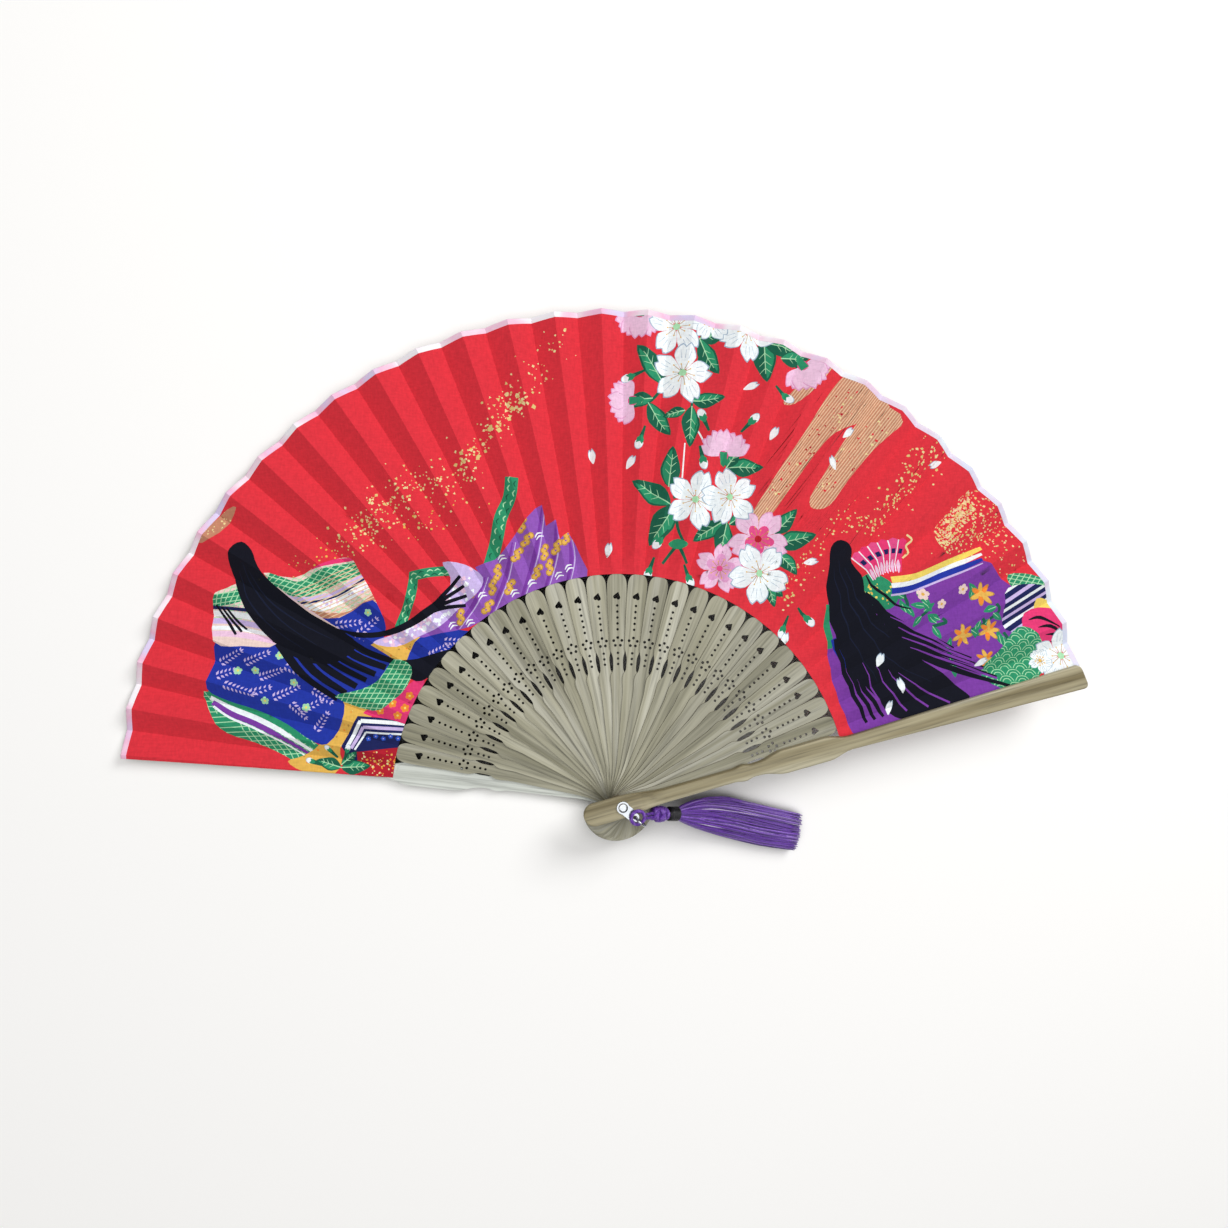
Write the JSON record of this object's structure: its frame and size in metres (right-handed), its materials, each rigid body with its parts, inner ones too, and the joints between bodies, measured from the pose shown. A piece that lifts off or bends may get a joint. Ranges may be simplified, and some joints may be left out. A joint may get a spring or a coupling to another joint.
{
  "type": "folding hand fan",
  "caption": "Folding hand fan: pierced wooden ribs between two guard sticks turn on one rivet and open a pleated cloth leaf; a thread tassel swivels on the rivet.",
  "frame": {"origin": "on the rivet's axis, at the flat outer face of the rear rivet cap, which is level with the outer face of the rear guard that the fan lies on", "axes": "+Z along the rivet's axis from the rear guard to the front guard, +X to the right as the open fan is seen from the front, +Y towards the middle of the open leaf"},
  "size_m": [0.3928, 0.2245, 0.0267],
  "materials": {
    "guard_wood": "smooth, lightly polished, straight grain",
    "rib_wood": "thin pale wood veneer, matt",
    "leaf_cloth": "printed cloth, matt, creased into pleats",
    "binding_tape": "pale pink edge binding",
    "silver_metal": "bright plated metal",
    "purple_cord": "twisted cord with a silky sheen",
    "purple_thread": "loose silky threads",
    "black_thread": "wound thread"
  },
  "bodies": {
    "front_guard": {"front_guard": "guard_wood", "leaf": "leaf_cloth", "edge_binding": "binding_tape", "rivet_pin": "silver_metal", "rivet_rear_cap": "silver_metal", "rivet_front_cap": "silver_metal"},
    "rib_01": {"rib_01": "rib_wood"},
    "rib_02": {"rib_02": "rib_wood"},
    "rib_03": {"rib_03": "rib_wood"},
    "rib_04": {"rib_04": "rib_wood"},
    "rib_05": {"rib_05": "rib_wood"},
    "rib_06": {"rib_06": "rib_wood"},
    "rib_07": {"rib_07": "rib_wood"},
    "rib_08": {"rib_08": "rib_wood"},
    "rib_09": {"rib_09": "rib_wood"},
    "rib_10": {"rib_10": "rib_wood"},
    "rib_11": {"rib_11": "rib_wood"},
    "rib_12": {"rib_12": "rib_wood"},
    "rib_13": {"rib_13": "rib_wood"},
    "rib_14": {"rib_14": "rib_wood"},
    "rib_15": {"rib_15": "rib_wood"},
    "rib_16": {"rib_16": "rib_wood"},
    "rib_17": {"rib_17": "rib_wood"},
    "rib_18": {"rib_18": "rib_wood"},
    "rib_19": {"rib_19": "rib_wood"},
    "rib_20": {"rib_20": "rib_wood"},
    "rib_21": {"rib_21": "rib_wood"},
    "rib_22": {"rib_22": "rib_wood"},
    "rib_23": {"rib_23": "rib_wood"},
    "rib_24": {"rib_24": "rib_wood"},
    "rib_25": {"rib_25": "rib_wood"},
    "rib_26": {"rib_26": "rib_wood"},
    "rib_27": {"rib_27": "rib_wood"},
    "rib_28": {"rib_28": "rib_wood"},
    "rear_guard": {"rear_guard": "guard_wood"},
    "tassel": {"swivel_tab": "silver_metal", "jump_ring": "silver_metal", "tassel_cord": "purple_cord", "tassel_knot": "purple_cord", "neck_band": "black_thread", "tassel_skirt": "purple_thread"}
  },
  "joints": [
    {"name": "rib_28_fold", "type": "hinge", "parent": "front_guard", "child": "rib_28", "pos_m": [0, 0, 0.012], "axis": [0, 0, -1], "range_deg": [0, 5.44], "deforming": ["leaf", "edge_binding"]},
    {"name": "rib_27_fold", "type": "hinge", "parent": "rib_28", "child": "rib_27", "pos_m": [0, 0, 0.012], "axis": [0, 0, -1], "range_deg": [0, 5.44], "deforming": ["leaf", "edge_binding"]},
    {"name": "rib_26_fold", "type": "hinge", "parent": "rib_27", "child": "rib_26", "pos_m": [0, 0, 0.012], "axis": [0, 0, -1], "range_deg": [0, 5.44], "deforming": ["leaf", "edge_binding"]},
    {"name": "rib_25_fold", "type": "hinge", "parent": "rib_26", "child": "rib_25", "pos_m": [0, 0, 0.012], "axis": [0, 0, -1], "range_deg": [0, 5.44], "deforming": ["leaf", "edge_binding"]},
    {"name": "rib_24_fold", "type": "hinge", "parent": "rib_25", "child": "rib_24", "pos_m": [0, 0, 0.012], "axis": [0, 0, -1], "range_deg": [0, 5.44], "deforming": ["leaf", "edge_binding"]},
    {"name": "rib_23_fold", "type": "hinge", "parent": "rib_24", "child": "rib_23", "pos_m": [0, 0, 0.012], "axis": [0, 0, -1], "range_deg": [0, 5.44], "deforming": ["leaf", "edge_binding"]},
    {"name": "rib_22_fold", "type": "hinge", "parent": "rib_23", "child": "rib_22", "pos_m": [0, 0, 0.012], "axis": [0, 0, -1], "range_deg": [0, 5.44], "deforming": ["leaf", "edge_binding"]},
    {"name": "rib_21_fold", "type": "hinge", "parent": "rib_22", "child": "rib_21", "pos_m": [0, 0, 0.012], "axis": [0, 0, -1], "range_deg": [0, 5.44], "deforming": ["leaf", "edge_binding"]},
    {"name": "rib_20_fold", "type": "hinge", "parent": "rib_21", "child": "rib_20", "pos_m": [0, 0, 0.012], "axis": [0, 0, -1], "range_deg": [0, 5.44], "deforming": ["leaf", "edge_binding"]},
    {"name": "rib_19_fold", "type": "hinge", "parent": "rib_20", "child": "rib_19", "pos_m": [0, 0, 0.012], "axis": [0, 0, -1], "range_deg": [0, 5.44], "deforming": ["leaf", "edge_binding"]},
    {"name": "rib_18_fold", "type": "hinge", "parent": "rib_19", "child": "rib_18", "pos_m": [0, 0, 0.012], "axis": [0, 0, -1], "range_deg": [0, 5.44], "deforming": ["leaf", "edge_binding"]},
    {"name": "rib_17_fold", "type": "hinge", "parent": "rib_18", "child": "rib_17", "pos_m": [0, 0, 0.012], "axis": [0, 0, -1], "range_deg": [0, 5.44], "deforming": ["leaf", "edge_binding"]},
    {"name": "rib_16_fold", "type": "hinge", "parent": "rib_17", "child": "rib_16", "pos_m": [0, 0, 0.012], "axis": [0, 0, -1], "range_deg": [0, 5.44], "deforming": ["leaf", "edge_binding"]},
    {"name": "rib_15_fold", "type": "hinge", "parent": "rib_16", "child": "rib_15", "pos_m": [0, 0, 0.012], "axis": [0, 0, -1], "range_deg": [0, 5.44], "deforming": ["leaf", "edge_binding"]},
    {"name": "rib_14_fold", "type": "hinge", "parent": "rib_15", "child": "rib_14", "pos_m": [0, 0, 0.012], "axis": [0, 0, -1], "range_deg": [0, 5.44], "deforming": ["leaf", "edge_binding"]},
    {"name": "rib_13_fold", "type": "hinge", "parent": "rib_14", "child": "rib_13", "pos_m": [0, 0, 0.012], "axis": [0, 0, -1], "range_deg": [0, 5.44], "deforming": ["leaf", "edge_binding"]},
    {"name": "rib_12_fold", "type": "hinge", "parent": "rib_13", "child": "rib_12", "pos_m": [0, 0, 0.012], "axis": [0, 0, -1], "range_deg": [0, 5.44], "deforming": ["leaf", "edge_binding"]},
    {"name": "rib_11_fold", "type": "hinge", "parent": "rib_12", "child": "rib_11", "pos_m": [0, 0, 0.012], "axis": [0, 0, -1], "range_deg": [0, 5.44], "deforming": ["leaf", "edge_binding"]},
    {"name": "rib_10_fold", "type": "hinge", "parent": "rib_11", "child": "rib_10", "pos_m": [0, 0, 0.012], "axis": [0, 0, -1], "range_deg": [0, 5.44], "deforming": ["leaf", "edge_binding"]},
    {"name": "rib_09_fold", "type": "hinge", "parent": "rib_10", "child": "rib_09", "pos_m": [0, 0, 0.012], "axis": [0, 0, -1], "range_deg": [0, 5.44], "deforming": ["leaf", "edge_binding"]},
    {"name": "rib_08_fold", "type": "hinge", "parent": "rib_09", "child": "rib_08", "pos_m": [0, 0, 0.012], "axis": [0, 0, -1], "range_deg": [0, 5.44], "deforming": ["leaf", "edge_binding"]},
    {"name": "rib_07_fold", "type": "hinge", "parent": "rib_08", "child": "rib_07", "pos_m": [0, 0, 0.012], "axis": [0, 0, -1], "range_deg": [0, 5.44], "deforming": ["leaf", "edge_binding"]},
    {"name": "rib_06_fold", "type": "hinge", "parent": "rib_07", "child": "rib_06", "pos_m": [0, 0, 0.012], "axis": [0, 0, -1], "range_deg": [0, 5.44], "deforming": ["leaf", "edge_binding"]},
    {"name": "rib_05_fold", "type": "hinge", "parent": "rib_06", "child": "rib_05", "pos_m": [0, 0, 0.012], "axis": [0, 0, -1], "range_deg": [0, 5.44], "deforming": ["leaf", "edge_binding"]},
    {"name": "rib_04_fold", "type": "hinge", "parent": "rib_05", "child": "rib_04", "pos_m": [0, 0, 0.012], "axis": [0, 0, -1], "range_deg": [0, 5.44], "deforming": ["leaf", "edge_binding"]},
    {"name": "rib_03_fold", "type": "hinge", "parent": "rib_04", "child": "rib_03", "pos_m": [0, 0, 0.012], "axis": [0, 0, -1], "range_deg": [0, 5.44], "deforming": ["leaf", "edge_binding"]},
    {"name": "rib_02_fold", "type": "hinge", "parent": "rib_03", "child": "rib_02", "pos_m": [0, 0, 0.012], "axis": [0, 0, -1], "range_deg": [0, 5.44], "deforming": ["leaf", "edge_binding"]},
    {"name": "rib_01_fold", "type": "hinge", "parent": "rib_02", "child": "rib_01", "pos_m": [0, 0, 0.012], "axis": [0, 0, -1], "range_deg": [0, 5.44], "deforming": ["leaf", "edge_binding"]},
    {"name": "rear_guard_fold", "type": "hinge", "parent": "rib_01", "child": "rear_guard", "pos_m": [0, 0, 0.012], "axis": [0, 0, -1], "range_deg": [0, 5.44], "deforming": ["leaf", "edge_binding"]},
    {"name": "tassel_swing", "type": "hinge", "parent": "front_guard", "child": "tassel", "pos_m": [0, 0, 0.0235], "axis": [0, 0, 1], "range_deg": [-40, 0]}
  ],
  "couplings": [
    {"joint": "rib_27_fold", "follows": "rib_28_fold", "ratio": 1},
    {"joint": "rib_26_fold", "follows": "rib_28_fold", "ratio": 1},
    {"joint": "rib_25_fold", "follows": "rib_28_fold", "ratio": 1},
    {"joint": "rib_24_fold", "follows": "rib_28_fold", "ratio": 1},
    {"joint": "rib_23_fold", "follows": "rib_28_fold", "ratio": 1},
    {"joint": "rib_22_fold", "follows": "rib_28_fold", "ratio": 1},
    {"joint": "rib_21_fold", "follows": "rib_28_fold", "ratio": 1},
    {"joint": "rib_20_fold", "follows": "rib_28_fold", "ratio": 1},
    {"joint": "rib_19_fold", "follows": "rib_28_fold", "ratio": 1},
    {"joint": "rib_18_fold", "follows": "rib_28_fold", "ratio": 1},
    {"joint": "rib_17_fold", "follows": "rib_28_fold", "ratio": 1},
    {"joint": "rib_16_fold", "follows": "rib_28_fold", "ratio": 1},
    {"joint": "rib_15_fold", "follows": "rib_28_fold", "ratio": 1},
    {"joint": "rib_14_fold", "follows": "rib_28_fold", "ratio": 1},
    {"joint": "rib_13_fold", "follows": "rib_28_fold", "ratio": 1},
    {"joint": "rib_12_fold", "follows": "rib_28_fold", "ratio": 1},
    {"joint": "rib_11_fold", "follows": "rib_28_fold", "ratio": 1},
    {"joint": "rib_10_fold", "follows": "rib_28_fold", "ratio": 1},
    {"joint": "rib_09_fold", "follows": "rib_28_fold", "ratio": 1},
    {"joint": "rib_08_fold", "follows": "rib_28_fold", "ratio": 1},
    {"joint": "rib_07_fold", "follows": "rib_28_fold", "ratio": 1},
    {"joint": "rib_06_fold", "follows": "rib_28_fold", "ratio": 1},
    {"joint": "rib_05_fold", "follows": "rib_28_fold", "ratio": 1},
    {"joint": "rib_04_fold", "follows": "rib_28_fold", "ratio": 1},
    {"joint": "rib_03_fold", "follows": "rib_28_fold", "ratio": 1},
    {"joint": "rib_02_fold", "follows": "rib_28_fold", "ratio": 1},
    {"joint": "rib_01_fold", "follows": "rib_28_fold", "ratio": 1},
    {"joint": "rear_guard_fold", "follows": "rib_28_fold", "ratio": 1}
  ]
}
